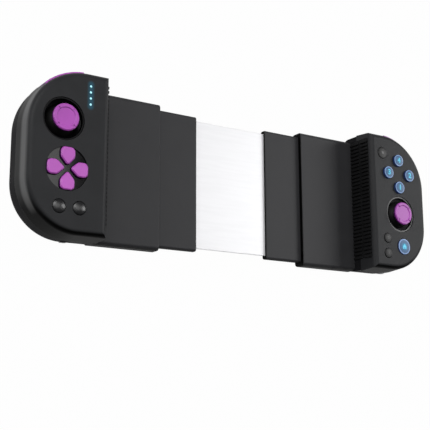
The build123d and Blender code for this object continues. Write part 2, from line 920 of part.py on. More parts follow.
def make_bumper_pin():
    """The upright pin of the bumper, hanging from the front cover."""
    low = grip_depth - bumper_top_drop - bumper_height
    return disc(bumper_pin_place(), low, under_face, bumper_pin_radius)


def make_trigger():
    """The trigger: a deep curved paddle behind the bumper, with two arms to its pin."""
    x_low = bay_half + trigger_inner_share * grip_width
    x_high = bay_half + trigger_outer_share * grip_width
    trigger = rim_band(-trigger_proud, trigger_inset, x_low, x_high, trigger_low, trigger_high)
    for level in (0, -1):
        edges = trigger.edges().group_by(Axis.Z)[level]
        outer_edges = edges.sort_by_distance((x_high, grip_top * 2, trigger_low))[0:2]
        trigger = fillet(outer_edges, trigger_edge)
    middle = trigger_middle()
    arm_face = trigger_arm_face()
    pin_y = trigger_pin_y()
    arm_low = trigger_pin_z - trigger_arm_half
    arm_high = trigger_pin_z + trigger_arm_half
    arms = block(
        middle - arm_face - trigger_arm_thickness,
        middle + arm_face + trigger_arm_thickness,
        pin_y - trigger_arm_half,
        grip_top,
        arm_low,
        arm_high,
    )
    y_high = grip_top + overrun
    arms -= block(middle - arm_face, middle + arm_face, 0, y_high, arm_low - overrun, arm_high + overrun)
    trigger += arms & grip_slab(trigger_inset / 2, arm_low, arm_high)
    reach = arm_face + trigger_arm_thickness + overrun
    bore = trigger_pin_radius + shoulder_pin_gap
    return trigger - rod_x(middle - reach, middle + reach, pin_y, trigger_pin_z, bore)


def make_trigger_pin():
    """The pin through the trigger's arms and the rear cover's lugs."""
    middle = trigger_middle()
    half = trigger_pin_length / 2
    return rod_x(middle - half, middle + half, trigger_pin_y(), trigger_pin_z, trigger_pin_radius)


# Port and switch on the low edge


def port_slot(width, height, y_low, y_high):
    """A flat slot with round ends along Y at the charging port."""
    x = bay_half + port_share * grip_width
    z = main_board_height - port_height / 2
    face = Plane.XZ * SlotOverall(width, height)
    return Pos(x, y_high, z) * extrude(face, y_high - y_low)


def make_port():
    """The charging port: a drawn shell round a thin tongue, closed at its back."""
    mouth = grip_low + rear_step + port_setback
    back = mouth + port_depth
    port = port_slot(port_width, port_height, mouth, back)
    bore_width = port_width - 2 * port_wall
    port -= port_slot(bore_width, port_height - 2 * port_wall, mouth - overrun, back - port_back)
    x = bay_half + port_share * grip_width
    z = main_board_height - port_height / 2
    half = port_tongue_width / 2
    rise = port_tongue_thickness / 2
    y_low = mouth + port_tongue_setback
    return port + block(x - half, x + half, y_low, back - port_back / 2, z - rise, z + rise)


def port_hole():
    """The hole in the rear cover for the port."""
    mouth = grip_low + rear_step
    width = port_width + 2 * port_hole_gap
    height = port_height + 2 * port_hole_gap
    return port_slot(width, height, mouth - overrun, mouth + port_depth)


def switch_box(length, height, y_low, y_high, shift):
    """A box at the slide switch, moved along X from the slot's middle."""
    x = bay_half + switch_share * grip_width + shift
    z = main_board_height - switch_drop
    return block(x - length / 2, x + length / 2, y_low, y_high, z - height / 2, z + height / 2)


def make_slide_switch():
    """The slider of the switch: a nub in the slot on a flange behind the wall."""
    shift = (switch_slot_length - switch_nub_length) / 2 - key_gap
    outside = grip_low + rear_step
    flange_y = outside + cover_wall + switch_flange_gap
    nub = switch_box(
        switch_nub_length, switch_nub_height, outside - switch_proud, flange_y + switch_flange_thickness, shift
    )
    flange = switch_box(
        switch_flange_length, switch_flange_height, flange_y, flange_y + switch_flange_thickness, shift
    )
    return nub + flange


def switch_hole():
    """The slot in the rear cover for the switch's nub."""
    outside = grip_low + rear_step
    inside = outside + cover_wall + overrun
    return switch_box(switch_slot_length, switch_slot_height, outside - overrun, inside, 0)


# Lists of the round keys of each grip: name, place, radius, rise, dome


def left_round_keys():
    """The two small round buttons of the left grip."""
    shares = {"left_outer_button": left_outer_button_share, "left_inner_button": left_inner_button_share}
    return [
        (name, grip_place(share), left_button_radius, left_button_rise, left_button_dome)
        for name, share in shares.items()
    ]


def right_round_keys():
    """The face buttons and the four function buttons of the right grip."""
    centre = grip_place(face_buttons_share)
    steps = {"top": (0, 1), "bottom": (0, -1), "left": (-1, 0), "right": (1, 0)}
    keys = []
    for name, step in steps.items():
        place = (centre[0] + step[0] * face_button_pitch, centre[1] + step[1] * face_button_pitch)
        keys.append(("face_button_" + name, place, face_button_radius, face_button_rise, flat_dome))
    home = grip_place(home_button_share)
    keys.append(("home_button", home, home_button_radius, home_button_rise, flat_dome))
    capture = grip_place(capture_button_share)
    keys.append(("capture_button", capture, capture_button_radius, capture_button_rise, flat_dome))
    for name, share in {"upper": right_upper_button_share, "lower": right_lower_button_share}.items():
        place = grip_place(share)
        keys.append(("right_" + name + "_button", place, small_button_radius, small_button_rise, flat_dome))
    return keys


def direction_places():
    """The domes under the direction keys."""
    centre = grip_place(dpad_share)
    reach = petal_plunger_share * petal_reach
    return [
        (centre[0] + reach, centre[1]),
        (centre[0] - reach, centre[1]),
        (centre[0], centre[1] + reach),
        (centre[0], centre[1] - reach),
    ]


# Writing the pieces


def save(node, solid):
    """Write one node, moved so that the origin is under the middle of the controller."""
    export_step(Pos(0, origin_shift, 0) * solid, "parts/" + node + ".step")


def save_right(node, solid):
    """Write a piece of the right half as it is."""
    save("right_" + node, solid)


def save_left(node, solid):
    """Write a piece of the left half, mirrored from the right."""
    save("left_" + node, mirror(solid, about=Plane.YZ))


def save_stick(write, place):
    """Write the pieces of one thumb stick."""
    write("stick_ring", make_stick_ring(place))
    write("stick_frame", make_stick_frame(place))
    write("stick_yoke", make_stick_yoke(place))
    write("stick_pivot_block", make_pivot_block(place))
    write("stick_stem", make_stick_stem(place))
    write("stick_cap", make_stick_cap(place))


def save_common(write):
    """Write the pieces that both halves have alike."""
    write("inner_sleeve", make_inner_sleeve())
    write("outer_sleeve", make_outer_sleeve())
    write("tray_screws", make_tray_screws())
    write("cover_screws", make_cover_screws())
    write("clamp_pad", make_clamp_pad())
    write("main_board", make_main_board())
    write("bumper", make_bumper())
    write("bumper_pin", make_bumper_pin())
    write("trigger", make_trigger())
    write("trigger_pin", make_trigger_pin())


def save_left_grip():
    """Write what only the left grip has."""
    stick = grip_place(left_stick_share)
    keys = left_round_keys()
    openings = [well_hole(stick), disc(grip_place(dpad_share), 0, grip_depth + overrun, dish_radius)]
    openings += [key_hole(place, radius) for name, place, radius, rise, dome in keys]
    openings += [light_hole(place) for place in light_places()]
    save_left("front_cover", make_front_cover(openings))
    save_left("rear_cover", make_rear_cover([switch_hole()]))
    domes = direction_places() + [place for name, place, radius, rise, dome in keys]
    save_left("key_board", make_key_board(stick, domes))
    save_stick(save_left, stick)
    for name, place, radius, rise, dome in keys:
        save(name, mirror(make_round_key(place, radius, rise, dome), about=Plane.YZ))
    for name, angle in {"right": 180, "left": 0, "up": 90, "down": 270}.items():
        save("direction_key_" + name, mirror(make_direction_key(angle), about=Plane.YZ))
    save("direction_dish", mirror(make_dish(), about=Plane.YZ))
    save("light_pipes", mirror(make_light_pipes(), about=Plane.YZ))
    save("battery", mirror(make_battery(), about=Plane.YZ))
    save("slide_switch", mirror(make_slide_switch(), about=Plane.YZ))


def save_right_grip():
    """Write what only the right grip has."""
    stick = grip_place(right_stick_share)
    keys = right_round_keys()
    openings = [well_hole(stick)] + [key_hole(place, radius) for name, place, radius, rise, dome in keys]
    save_right("front_cover", make_front_cover(openings))
    save_right("rear_cover", make_rear_cover([port_hole()]))
    save_right("key_board", make_key_board(stick, [place for name, place, radius, rise, dome in keys]))
    save_stick(save_right, stick)
    for name, place, radius, rise, dome in keys:
        save(name, make_round_key(place, radius, rise, dome))
    save("charging_port", make_port())


os.makedirs("parts", exist_ok=True)
save("centre_plate", make_centre_plate())
save_common(save_right)
save_common(save_left)
save_left_grip()
save_right_grip()
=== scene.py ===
"""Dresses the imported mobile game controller: procedural materials, small marks, stage, light and camera."""

import json

import bmesh
import bpy
from mathutils import Matrix, Vector


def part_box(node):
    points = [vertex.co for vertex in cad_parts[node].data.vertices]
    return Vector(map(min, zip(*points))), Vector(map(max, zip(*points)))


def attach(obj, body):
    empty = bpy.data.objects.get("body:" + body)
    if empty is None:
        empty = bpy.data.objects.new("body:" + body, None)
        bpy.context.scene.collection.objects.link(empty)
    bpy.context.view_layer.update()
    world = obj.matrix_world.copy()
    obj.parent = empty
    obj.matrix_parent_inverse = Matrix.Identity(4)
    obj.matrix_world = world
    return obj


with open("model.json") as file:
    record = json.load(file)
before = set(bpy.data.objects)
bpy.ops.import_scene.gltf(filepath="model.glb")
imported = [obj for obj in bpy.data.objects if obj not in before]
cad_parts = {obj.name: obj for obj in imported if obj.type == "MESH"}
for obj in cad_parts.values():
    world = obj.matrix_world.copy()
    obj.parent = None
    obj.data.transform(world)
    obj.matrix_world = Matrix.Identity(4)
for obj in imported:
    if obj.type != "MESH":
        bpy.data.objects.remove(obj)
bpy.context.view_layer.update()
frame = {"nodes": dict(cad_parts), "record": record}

MM = 0.001

# Colours, linear
CHARCOAL = (0.020, 0.0205, 0.022)
CHARCOAL_EDGE = (0.055, 0.056, 0.060)
BACK_BLACK = (0.008, 0.008, 0.009)
BACK_EDGE = (0.022, 0.022, 0.024)
# Painted shade on the side walls of the covers and sleeves
PAINTED_WALL_SHADE = (0.002, 0.002, 0.002)
SLEEVE = (0.0235, 0.0235, 0.0255)
SLEEVE_EDGE = (0.050, 0.050, 0.053)
SILVER = (0.79, 0.79, 0.805)
SILVER_EDGE = (0.95, 0.95, 0.96)
RUBBER = (0.004, 0.004, 0.0045)
RUBBER_EDGE = (0.009, 0.009, 0.010)
PURPLE = (0.37, 0.067, 0.40)
PURPLE_PALE = (0.50, 0.15, 0.54)
PETAL = (0.44, 0.085, 0.46)
# Painted shade on the side walls of the purple keys
PURPLE_SIDE_SHADE = (0.085, 0.008, 0.115)
PIANO_BLACK = (0.0015, 0.0015, 0.002)
BUTTON_BLACK = (0.008, 0.008, 0.009)
KEY_GREY = (0.022, 0.022, 0.022)
KEY_GREY_EDGE = (0.035, 0.035, 0.035)
LIT_FACE = (0.035, 0.085, 0.165)
LIT_GLOW = (0.01, 0.13, 0.23)
# Painted highlight on the rim of the lit keys, also the paler edge colour of their finish
LIT_RIM_HIGHLIGHT = (0.16, 0.24, 0.42)
HOME_GLOW = (0.0, 0.26, 0.44)
# Painted shade on the side walls of the lit keys
LIT_SIDE_SHADE = (0.012, 0.022, 0.07)
MARK_CYAN = (0.0, 0.27, 0.40)
LIGHT_DOT = (0.26, 0.55, 0.62)
LIGHT_HALO = (0.0, 0.050, 0.080)
BOARD = (0.012, 0.085, 0.035)
BOARD_EDGE = (0.03, 0.14, 0.07)
STEEL = (0.50, 0.50, 0.52)
STEEL_EDGE = (0.75, 0.75, 0.77)
FOIL = (0.34, 0.36, 0.39)
FOIL_EDGE = (0.48, 0.50, 0.54)
IVORY = (0.52, 0.52, 0.50)
IVORY_EDGE = (0.62, 0.62, 0.60)
WHITE = (1.0, 1.0, 1.0)
BLACK = (0.0, 0.0, 0.0)
# Painted reflection on the right stick ring
RING_REFLECTION_GREY = (0.020, 0.020, 0.021)
SKIRT_BLACK = (0.003, 0.003, 0.003)
PRINT_GREY = (0.09, 0.09, 0.09)
PRINT_EDGE = (0.11, 0.11, 0.11)
# Painted shade for the cross recesses of the cover screws
RECESS_SHADE_GREY = (0.02, 0.02, 0.02)
RECESS_SHADE_EDGE = (0.05, 0.05, 0.05)

# What all finishes share
BROAD_TO_FINE = 22.0
FINE_DETAIL = 4.0
BROAD_DETAIL = 2.0
BLOTCH_LOW, BLOTCH_HIGH = 0.35, 0.65
SPECKLE_LOW, SPECKLE_HIGH, SPECKLE_SHARE = 0.4, 0.75, 0.5
ROUGH_LOW, ROUGH_HIGH = 0.3, 0.7
EDGE_LIKENESS = 0.86
PALE_EDGE_SHARE = 0.55
BEVEL_SAMPLES = 4

# Where a wall turns into the front, and into an end wall, by how far it faces there
FRONT_LOW, FRONT_HIGH = 0.25, 0.80
END_LOW, END_HIGH = 0.75, 0.95

# Grip walls, heights in millimetres: a satin band on the upper part ends where the wall turns to the low
# side; the low side and a strip under the band carry painted shade
BAND_LOW, BAND_HIGH = 17.5, 20.5
BAND_LEVEL = 0.55
BAND_OUTWARD_LOW, BAND_OUTWARD_HIGH = 0.72, 0.97
LOW_TURN_LOW, LOW_TURN_HIGH = 0.20, 0.60
UNDER_BAND_SHADE = 0.88
UNDER_OUTWARD_LOW, UNDER_OUTWARD_HIGH = 0.30, 0.70
COVER_SHINE, END_WALL_SHINE = 0.12, 0.03
SLEEVE_WALL_SHINE, SLEEVE_SHINE = 0.03, 0.25

# Keys, as shares of the radius of their face, and the halo round the lights, in millimetres
# Painted shade on the rim of the grey keys, from the first share of the radius to the second
KEY_RIM_SHADE_LOW, KEY_RIM_SHADE_HIGH = 0.70, 0.95
GLOW_REACH = 0.62
# Painted highlight ring on the lit keys
RIM_HIGHLIGHT_LOW, RIM_HIGHLIGHT_HIGH = 0.80, 0.92
LIT_SHARE = 0.45
HALO_NEAR, HALO_FAR = 0.4, 2.3
GLOW_BLEND = 0.3
GLOW_EDGE = 0.6
FACE_RADIUS = 3.45
HOME_RADIUS = 4.5
CAPTURE_RADIUS = 3.0
SMALL_KEY_RADIUS = 2.3

# Node trees


def add(tree, kind, inputs=None, **settings):
    """A new node, with its settings and its inputs linked or set."""
    node = tree.nodes.new(kind)
    for key, value in settings.items():
        setattr(node, key, value)
    for key, value in (inputs or {}).items():
        if isinstance(value, bpy.types.NodeSocket):
            tree.links.new(value, node.inputs[key])
        else:
            node.inputs[key].default_value = value
    return node


def opaque(colour):
    return (*colour, 1.0)


def calculate(tree, operation, first, second=0.0):
    return add(tree, "ShaderNodeMath", {0: first, 1: second}, operation=operation).outputs[0]


def blended(tree, factor, first, second):
    """The colour that goes from first to second as factor goes from 0 to 1."""
    first = first if isinstance(first, bpy.types.NodeSocket) else opaque(first)
    second = second if isinstance(second, bpy.types.NodeSocket) else opaque(second)
    mix = add(tree, "ShaderNodeMix", {0: factor, 6: first, 7: second}, data_type="RGBA")
    return mix.outputs[2]


def ramp(tree, value, low, high, start=0.0, end=1.0):
    """start below low, end above high, and smooth between them."""
    inputs = {0: value, 1: low, 2: high, 3: start, 4: end}
    return add(tree, "ShaderNodeMapRange", inputs, interpolation_type="SMOOTHSTEP").outputs[0]


def noise(tree, place, scale, detail=3.0, stretch=(1.0, 1.0, 1.0)):
    scaled = add(tree, "ShaderNodeMapping", {"Vector": place, "Scale": stretch})
    inputs = {"Vector": scaled.outputs[0], "Scale": scale, "Detail": detail}
    return add(tree, "ShaderNodeTexNoise", inputs).outputs[0]


def edge_share(tree, rounded_normal, width):
    """1 on rounded edges and 0 on flat faces."""
    plain = add(tree, "ShaderNodeNewGeometry").outputs["Normal"]
    likeness = add(tree, "ShaderNodeVectorMath", {0: rounded_normal, 1: plain}, operation="DOT_PRODUCT")
    return ramp(tree, likeness.outputs["Value"], width, 1.0, 1.0, 0.0)


def surface(
    name,
    colour,
    edge_colour,
    roughness,
    grain=1600.0,
    grain_depth=0.012,
    blotch=0.12,
    edge_radius=0.25,
    stretch=(1.0, 1.0, 1.0),
    paint=None,
    shine=None,
    **shader_inputs,
):
    """A procedural finish: fine grain in the bump, soft blotches in colour and roughness, paler edges.

    paint(tree, place, colour) may return another colour and emission colour, shine(tree) the specular level.
    """
    material = bpy.data.materials.new(name)
    material.use_nodes = True
    tree = material.node_tree
    shader = tree.nodes["Principled BSDF"]
    place = add(tree, "ShaderNodeTexCoord").outputs["Object"]
    rounded = add(tree, "ShaderNodeBevel", {"Radius": edge_radius * MM}, samples=BEVEL_SAMPLES).outputs[0]
    fine = noise(tree, place, grain, FINE_DETAIL, stretch)
    broad = noise(tree, place, grain / BROAD_TO_FINE, BROAD_DETAIL, stretch)
    darker = tuple(channel * (1.0 - blotch) for channel in colour)
    lighter = tuple(min(1.0, channel * (1.0 + blotch)) for channel in colour)
    base = blended(tree, ramp(tree, broad, BLOTCH_LOW, BLOTCH_HIGH), darker, lighter)
    speckle = ramp(tree, fine, SPECKLE_LOW, SPECKLE_HIGH, 0.0, SPECKLE_SHARE)
    speckled = blended(tree, speckle, base, lighter)
    if paint:
        speckled, glow = paint(tree, place, speckled)
        if glow is not None:
            tree.links.new(glow, shader.inputs["Emission Color"])
            shader.inputs["Emission Strength"].default_value = 1.0
    paler_edge = edge_share(tree, rounded, EDGE_LIKENESS)
    final = blended(tree, calculate(tree, "MULTIPLY", paler_edge, PALE_EDGE_SHARE), speckled, edge_colour)
    smoother = roughness * (1.0 - blotch / 2.0)
    rougher = min(1.0, roughness * (1.0 + blotch / 2.0))
    rough = ramp(tree, broad, ROUGH_LOW, ROUGH_HIGH, smoother, rougher)
    inputs = {"Strength": 1.0, "Distance": grain_depth * MM, "Height": fine, "Normal": rounded}
    bump = add(tree, "ShaderNodeBump", inputs)
    tree.links.new(final, shader.inputs["Base Color"])
    tree.links.new(rough, shader.inputs["Roughness"])
    tree.links.new(bump.outputs[0], shader.inputs["Normal"])
    if shine:
        tree.links.new(shine(tree), shader.inputs["Specular IOR Level"])
    for key, value in shader_inputs.items():
        shader.inputs[key.replace("_", " ")].default_value = value
    return material


def middle(node):
    low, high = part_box(node)
    return (Vector(low) + Vector(high)) / 2.0


def radius_from(tree, place, centre):
    """Distance from an upright axis through centre, in millimetres."""
    offset = add(tree, "ShaderNodeVectorMath", {0: place, 1: tuple(centre)}, operation="SUBTRACT").outputs[0]
    flat = add(tree, "ShaderNodeVectorMath", {0: offset, 1: (1.0, 1.0, 0.0)}, operation="MULTIPLY").outputs[0]
    length = add(tree, "ShaderNodeVectorMath", {0: flat}, operation="LENGTH").outputs["Value"]
    return calculate(tree, "DIVIDE", length, MM)


def facing(tree, axis):
    """How far the surface faces along an axis of the part, from -1 to 1."""
    normal = add(tree, "ShaderNodeTexCoord").outputs["Normal"]
    return add(tree, "ShaderNodeSeparateXYZ", {0: normal}).outputs[axis]


def upward(tree, start=0.0, end=1.0):
    """end where the surface faces the front, falling to start on side walls."""
    return ramp(tree, facing(tree, "Z"), FRONT_LOW, FRONT_HIGH, start, end)


def end_walls(tree):
    """1 on the walls at the two long sides of the part and on the low corners, 0 elsewhere."""
    sides = ramp(tree, calculate(tree, "ABSOLUTE", facing(tree, "Y")), END_LOW, END_HIGH)
    downward = calculate(tree, "MULTIPLY", facing(tree, "Y"), -1.0)
    return calculate(tree, "MAXIMUM", sides, ramp(tree, downward, LOW_TURN_LOW, LOW_TURN_HIGH))


def outward(tree, spot):
    """How far the surface faces away from the middle of the part, from -1 to 1."""
    return calculate(tree, "MULTIPLY", facing(tree, "X"), calculate(tree, "SIGN", spot["X"]))


def band_shine(tree):
    """Satin on the upper part of the grip walls that face outwards, matt elsewhere."""
    place = add(tree, "ShaderNodeTexCoord").outputs["Object"]
    spot = add(tree, "ShaderNodeSeparateXYZ", {0: place}).outputs
    upper = ramp(tree, spot["Z"], BAND_LOW * MM, BAND_HIGH * MM, 0.0, BAND_LEVEL)
    side = ramp(tree, outward(tree, spot), BAND_OUTWARD_LOW, BAND_OUTWARD_HIGH)
    flat = ramp(tree, end_walls(tree), 0.0, 1.0, COVER_SHINE, END_WALL_SHINE)
    return calculate(tree, "ADD", flat, calculate(tree, "MULTIPLY", upper, side))


def cover_painted_shade(tree, place, colour):
    """Painted shade: darker end walls and low corners, and a darker strip under the satin band."""
    spot = add(tree, "ShaderNodeSeparateXYZ", {0: place}).outputs
    under = ramp(tree, spot["Z"], BAND_LOW * MM, BAND_HIGH * MM, UNDER_BAND_SHADE, 0.0)
    side = ramp(tree, outward(tree, spot), UNDER_OUTWARD_LOW, UNDER_OUTWARD_HIGH)
    dark = calculate(tree, "MAXIMUM", end_walls(tree), calculate(tree, "MULTIPLY", under, side))
    return blended(tree, dark, colour, PAINTED_WALL_SHADE), None


def sleeve_shine(tree):
    return upward(tree, SLEEVE_WALL_SHINE, SLEEVE_SHINE)


# Painted shade: the sleeve's side walls darken to black, the faces towards the front keep their colour
def sleeve_side_shade(tree, place, colour):
    return blended(tree, upward(tree), PAINTED_WALL_SHADE, colour), None


def key_rim_shade_paint(node, face_radius):
    """A key whose rim darkens to black: painted shade for the gap round it."""
    centre = middle(node)

    def paint(tree, place, colour):
        distance = radius_from(tree, place, centre)
        shade = ramp(tree, distance, face_radius * KEY_RIM_SHADE_LOW, face_radius * KEY_RIM_SHADE_HIGH)
        return blended(tree, shade, colour, PIANO_BLACK), None

    return paint


# Painted shade: the side walls of the purple keys darken to deep purple
def purple_side_shade(tree, place, colour):
    return blended(tree, upward(tree), PURPLE_SIDE_SHADE, colour), None


def lit_paint(node, face_radius, glow):
    """A backlit key: a side wall darkened with painted shade, a pale rim that is a painted highlight, and a
    blue face that glows towards its middle.
    """
    centre = middle(node)

    def paint(tree, place, colour):
        distance = radius_from(tree, place, centre)
        glow_share = ramp(tree, distance, 0.0, face_radius * GLOW_REACH, 1.0, 0.0)
        face = blended(tree, glow_share, LIT_FACE, glow)
        rim_highlight_share = ramp(tree, distance, face_radius * RIM_HIGHLIGHT_LOW, face_radius * RIM_HIGHLIGHT_HIGH)
        face = blended(tree, rim_highlight_share, face, LIT_RIM_HIGHLIGHT)
        whole = blended(tree, upward(tree), LIT_SIDE_SHADE, face)
        light = blended(tree, LIT_SHARE, BLACK, whole)
        return whole, light

    return paint


def halo_paint(tree, place, colour):
    """The glow that the row of lights throws on the cover round it."""
    low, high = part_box("light_pipes")
    half_length = (high[1] - low[1]) / 2.0
    inputs = {0: place, 1: tuple(middle("light_pipes"))}
    offset = add(tree, "ShaderNodeVectorMath", inputs, operation="SUBTRACT").outputs[0]
    parts = add(tree, "ShaderNodeSeparateXYZ", {0: offset})
    along = calculate(tree, "SUBTRACT", calculate(tree, "ABSOLUTE", parts.outputs["Y"]), half_length)
    beyond = calculate(tree, "MAXIMUM", along, 0.0)
    joined = add(tree, "ShaderNodeCombineXYZ", {"X": parts.outputs["X"], "Y": beyond}).outputs[0]
    distance = add(tree, "ShaderNodeVectorMath", {0: joined}, operation="LENGTH").outputs["Value"]
    share = ramp(tree, calculate(tree, "DIVIDE", distance, MM), HALO_NEAR, HALO_FAR, 1.0, 0.0)
    return cover_painted_shade(tree, place, colour)[0], blended(tree, share, BLACK, LIGHT_HALO)


def glowing(colour):
    """Paint for a part that shines evenly, a little less at its edge."""

    def paint(tree, place, base):
        turned = add(tree, "ShaderNodeLayerWeight", {"Blend": GLOW_BLEND}).outputs["Facing"]
        return base, blended(tree, turned, colour, tuple(channel * GLOW_EDGE for channel in colour))

    return paint


# Finishes by material slot

COVER = {"blotch": 0.06, "edge_radius": 0.3, "shine": band_shine}
SLEEVES = {"blotch": 0.05, "edge_radius": 0.3, "paint": sleeve_side_shade, "shine": sleeve_shine}
PLATE = {"grain": 900.0, "grain_depth": 0.006, "blotch": 0.015, "stretch": (1.0, 14.0, 1.0)}
PAD = {"grain": 2400.0, "grain_depth": 0.03, "blotch": 0.2}
ORCHID = {"blotch": 0.06, "edge_radius": 0.35, "paint": purple_side_shade}
GLOSS = {"edge_radius": 1.2, "grain_depth": 0.0}
LIT = {"grain_depth": 0.002, "Specular_IOR_Level": 0.15}

finishes = {
    "shell_dark": surface("shell_charcoal", CHARCOAL, CHARCOAL_EDGE, 0.45, paint=cover_painted_shade, **COVER),
    "shell_back": surface(
        "shell_black", BACK_BLACK, BACK_EDGE, 0.60, edge_radius=0.3, Specular_IOR_Level=0.05
    ),
    "sleeve_dark": surface("sleeve_satin", SLEEVE, SLEEVE_EDGE, 0.50, **SLEEVES),
    "plate_silver": surface("plate_brushed", SILVER, SILVER_EDGE, 0.42, Metallic=0.25, **PLATE),
    "pad_rubber": surface("pad_rubber", RUBBER, RUBBER_EDGE, 0.78, Specular_IOR_Level=0.2, **PAD),
    "key_purple": surface("key_orchid", PURPLE, PURPLE_PALE, 0.38, Specular_IOR_Level=0.35, **ORCHID),
    "key_black": surface("key_gloss", BUTTON_BLACK, BUTTON_BLACK, 0.30, Specular_IOR_Level=0.6, **GLOSS),
    "key_grey": surface("key_satin", KEY_GREY, KEY_GREY_EDGE, 0.40, Specular_IOR_Level=0.3),
    "key_lit": surface("key_lit_plain", LIT_FACE, LIT_RIM_HIGHLIGHT, 0.25, grain_depth=0.002),
    "ring_black": surface(
        "well_gloss", PIANO_BLACK, PIANO_BLACK, 0.08, grain_depth=0.001, Specular_IOR_Level=0.5
    ),
    "trigger_black": surface("trigger_satin", CHARCOAL, CHARCOAL_EDGE, 0.42, Specular_IOR_Level=0.25),
    "light_clear": surface("light_lit", LIGHT_DOT, LIGHT_DOT, 0.3, paint=glowing(LIGHT_DOT)),
    "board_green": surface("board_coated", BOARD, BOARD_EDGE, 0.30, grain_depth=0.01),
    "steel": surface("steel_plated", STEEL, STEEL_EDGE, 0.28, grain_depth=0.004, Metallic=1.0),
    "battery_wrap": surface("battery_foil", FOIL, FOIL_EDGE, 0.35),
    "pivot_pale": surface("pivot_moulded", IVORY, IVORY_EDGE, 0.45),
}
home_paint = lit_paint("home_button", HOME_RADIUS, HOME_GLOW)
special = {
    "left_front_cover": surface("cover_lit", CHARCOAL, CHARCOAL_EDGE, 0.45, paint=halo_paint, **COVER),
    "home_button": surface("home_lit", LIT_FACE, LIT_RIM_HIGHLIGHT, 0.25, paint=home_paint, **LIT),
}
for side in ("up", "down", "left", "right"):
    special["direction_key_" + side] = surface("petal_" + side, PETAL, PURPLE_PALE, 0.38, **ORCHID)
special["left_stick_ring"] = surface("ring_deep", PIANO_BLACK, PIANO_BLACK, 0.25, Specular_IOR_Level=0.12)
# Painted reflection: the right ring is a lighter grey copy of the glossy black ring, standing in for the
# light it reflects
special["right_stick_ring"] = surface("ring_reflection_grey", RING_REFLECTION_GREY, RING_REFLECTION_GREY, 0.40)
for hand in ("left", "right"):
    special[hand + "_stick_stem"] = surface(
        hand + "_skirt", SKIRT_BLACK, SKIRT_BLACK, 0.6, Specular_IOR_Level=0.2
    )
grey_keys = {
    "capture_button": CAPTURE_RADIUS,
    "right_upper_button": SMALL_KEY_RADIUS,
    "right_lower_button": SMALL_KEY_RADIUS,
}
for key, key_radius in grey_keys.items():
    rim_shade = key_rim_shade_paint(key, key_radius)
    special[key] = surface(
        key + "_satin", KEY_GREY, KEY_GREY_EDGE, 0.45, paint=rim_shade, Specular_IOR_Level=0.25
    )
for side in ("top", "bottom", "left", "right"):
    node_name = "face_button_" + side
    key_paint = lit_paint(node_name, FACE_RADIUS, LIT_GLOW)
    special[node_name] = surface(node_name + "_lit", LIT_FACE, LIT_RIM_HIGHLIGHT, 0.25, paint=key_paint, **LIT)
mark_finish = surface("mark_lit", MARK_CYAN, MARK_CYAN, 0.3, grain_depth=0.001, paint=glowing(MARK_CYAN))
print_finish = surface("mark_printed", PRINT_GREY, PRINT_EDGE, 0.5, grain_depth=0.001)
recess_shade_finish = surface("recess_shade", RECESS_SHADE_GREY, RECESS_SHADE_EDGE, 0.5, grain_depth=0.004)


def dress(item, material):
    item.data.materials.clear()
    item.data.materials.append(material)


for part in frame["record"]["subparts"]:
    dress(frame["nodes"][part["node"]], special.get(part["node"], finishes[part["material_slot"]]))

# Small pieces


def add_mesh(name, bm, body, material):
    data = bpy.data.meshes.new(name)
    bm.to_mesh(data)
    bm.free()
    item = bpy.data.objects.new(name, data)
    bpy.context.scene.collection.objects.link(item)
    dress(item, material)
    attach(item, body)
    return item


def flat_shape(outlines, centre, thickness):
    """Thin raised plates with the given outlines, in millimetres about centre."""
    bm = bmesh.new()
    for outline in outlines:
        corners = [bm.verts.new(centre + Vector((x * MM, y * MM, 0.0))) for x, y in outline]
        face = bm.faces.new(corners)
        raised = bmesh.ops.extrude_face_region(bm, geom=[face])["geom"]
        moved = [item for item in raised if isinstance(item, bmesh.types.BMVert)]
        bmesh.ops.translate(bm, verts=moved, vec=(0.0, 0.0, thickness * MM))
    bmesh.ops.recalc_face_normals(bm, faces=bm.faces)
    return bm


def bar(x, y, width, height):
    return [
        (x - width / 2.0, y - height / 2.0),
        (x + width / 2.0, y - height / 2.0),
        (x + width / 2.0, y + height / 2.0),
        (x - width / 2.0, y + height / 2.0),
    ]


# Marks, in millimetres
MARK_SINK = 0.06
MARK_THICKNESS = 0.09
NUMBER_SIZE = 4.4
NUMBER_SWELL = 0.10
HOUSE_HALF = 1.3
HOUSE_LOW = -1.4
EAVES = 0.2
ROOF_TOP = 1.6
DOOR_HALF = 0.4
DOOR_TOP = -0.3
SMALL_MARK = 1.5
SMALL_LINE = 0.28
LINE_SPREAD = 0.4
CROSS_LENGTH = 2.0
CROSS_WIDTH = 0.5
CROSS_DEPTH = 0.05
WELD_DISTANCE = 1e-6


def face_centre(node):
    """The middle of a key's face, sunk a little so that a mark there is bedded in it."""
    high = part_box(node)[1]
    centre = middle(node)
    return Vector((centre.x, centre.y, high[2] - MARK_SINK * MM))


def number_mark(node, digit, size):
    """A plain raised number in the middle of a key."""
    text = bpy.data.curves.new(node + "_number_curve", "FONT")
    text.body = digit
    text.size = size * MM
    text.extrude = MARK_THICKNESS * MM / 2.0
    text.offset = NUMBER_SWELL * MM
    text.align_x = "CENTER"
    text.align_y = "CENTER"
    lettering = bpy.data.objects.new(node + "_number_text", text)
    bpy.context.scene.collection.objects.link(lettering)
    graph = bpy.context.evaluated_depsgraph_get()
    data = bpy.data.meshes.new_from_object(lettering.evaluated_get(graph))
    bpy.data.objects.remove(lettering)
    spot = face_centre(node) + Vector((0.0, 0.0, MARK_THICKNESS * MM / 2.0))
    data.transform(Matrix.Translation(spot))
    item = bpy.data.objects.new(node + "_number", data)
    bpy.context.scene.collection.objects.link(item)
    dress(item, mark_finish)
    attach(item, node)


for side, digit in (("bottom", "1"), ("right", "2"), ("left", "3"), ("top", "4")):
    number_mark("face_button_" + side, digit, NUMBER_SIZE)

